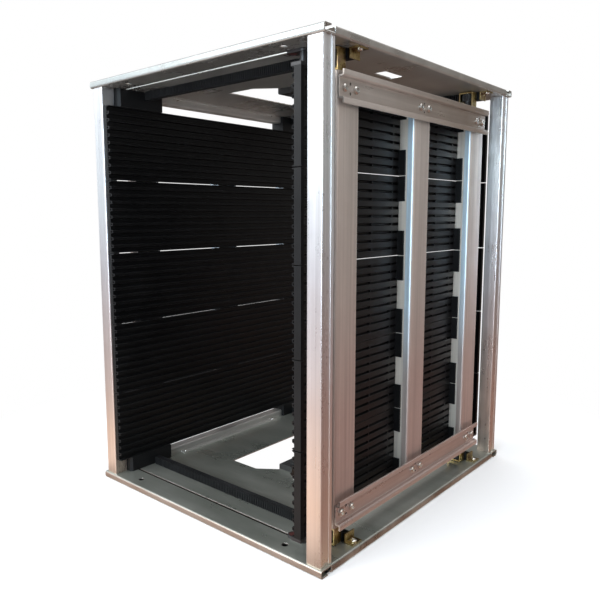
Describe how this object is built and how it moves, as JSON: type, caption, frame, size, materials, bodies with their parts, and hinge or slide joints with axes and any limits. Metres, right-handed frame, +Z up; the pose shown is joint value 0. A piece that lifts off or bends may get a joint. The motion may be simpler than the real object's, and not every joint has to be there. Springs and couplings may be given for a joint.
{
  "type": "pcb magazine rack",
  "caption": "Open rack with two grooved walls that hold circuit boards by their edges, between a base and a top plate; one wall slides on racks and pinions to suit the board width.",
  "frame": {"origin": "middle of the footprint, on the surface the rack stands on", "axes": "+X towards the sliding wall (right, seen from the open front), +Y towards the rear, +Z up"},
  "size_m": [0.4, 0.46, 0.563],
  "materials": {
    "galvanised_plate": "galvanised, satin",
    "post_aluminium": "anodised, fine satin",
    "bar_aluminium": "brushed lengthwise",
    "black_plastic": "moulded, satin",
    "rack_plastic": "moulded, matt",
    "grip_plastic": "moulded, matt",
    "pinion_plastic": "moulded, satin",
    "yellow_zinc": "yellow zinc plated",
    "screw_steel": "zinc plated",
    "shaft_steel": "ground",
    "bush_bronze": "sintered bronze, satin"
  },
  "bodies": {
    "frame": {"base_plate": "galvanised_plate", "top_plate": "galvanised_plate", "post_front_left": "post_aluminium", "post_front_right": "post_aluminium", "post_rear_left": "post_aluminium", "post_rear_right": "post_aluminium", "post_screws": "screw_steel", "base_grip": "grip_plastic", "top_grip": "grip_plastic", "rack_base_front": "rack_plastic", "rack_base_rear": "rack_plastic", "rack_top_front": "rack_plastic", "rack_top_rear": "rack_plastic", "rack_end_clips": "yellow_zinc", "rack_screws": "screw_steel", "fixed_bar_front": "bar_aluminium", "fixed_bar_middle": "bar_aluminium", "fixed_bar_rear": "bar_aluminium", "fixed_block_base_front": "black_plastic", "fixed_block_base_rear": "black_plastic", "fixed_block_top_front": "black_plastic", "fixed_block_top_rear": "black_plastic", "fixed_rail_base": "bar_aluminium", "fixed_rail_top": "bar_aluminium", "fixed_channel_base": "bar_aluminium", "fixed_channel_top": "bar_aluminium", "fixed_wall_screws": "screw_steel", "fixed_guide_1": "black_plastic", "fixed_guide_2": "black_plastic", "fixed_guide_3": "black_plastic", "fixed_guide_4": "black_plastic", "fixed_guide_5": "black_plastic"},
    "slide_wall": {"slide_bar_front": "bar_aluminium", "slide_bar_middle": "bar_aluminium", "slide_bar_rear": "bar_aluminium", "slide_rail_base": "bar_aluminium", "slide_rail_top": "bar_aluminium", "slide_rail_screws": "screw_steel", "slide_guide_1": "black_plastic", "slide_guide_2": "black_plastic", "slide_guide_3": "black_plastic", "slide_guide_4": "black_plastic", "slide_guide_5": "black_plastic", "bracket_base_front": "yellow_zinc", "bracket_base_rear": "yellow_zinc", "bracket_top_front": "yellow_zinc", "bracket_top_rear": "yellow_zinc", "runner_base_front": "black_plastic", "runner_base_rear": "black_plastic", "runner_top_front": "black_plastic", "runner_top_rear": "black_plastic", "shaft_bushes": "bush_bronze"},
    "front_shaft": {"drive_shaft_front": "shaft_steel", "pinion_base_front": "pinion_plastic", "pinion_top_front": "pinion_plastic"},
    "rear_shaft": {"drive_shaft_rear": "shaft_steel", "pinion_base_rear": "pinion_plastic", "pinion_top_rear": "pinion_plastic"}
  },
  "joints": [
    {"name": "wall_slide", "type": "slide", "parent": "frame", "child": "slide_wall", "axis": [-1, 0, 0], "range_m": [0, 0.28]},
    {"name": "front_shaft_spin", "type": "hinge", "parent": "slide_wall", "child": "front_shaft", "pos_m": [0.17, -0.172, 0.2], "axis": [0, 0, 1], "range_deg": [-2300, 0]},
    {"name": "rear_shaft_spin", "type": "hinge", "parent": "slide_wall", "child": "rear_shaft", "pos_m": [0.17, 0.148, 0.2], "axis": [0, 0, 1], "range_deg": [-2300, 0]}
  ],
  "couplings": [
    {"joint": "front_shaft_spin", "follows": "wall_slide", "rad_per_m": -142.86},
    {"joint": "rear_shaft_spin", "follows": "wall_slide", "rad_per_m": -142.86}
  ]
}
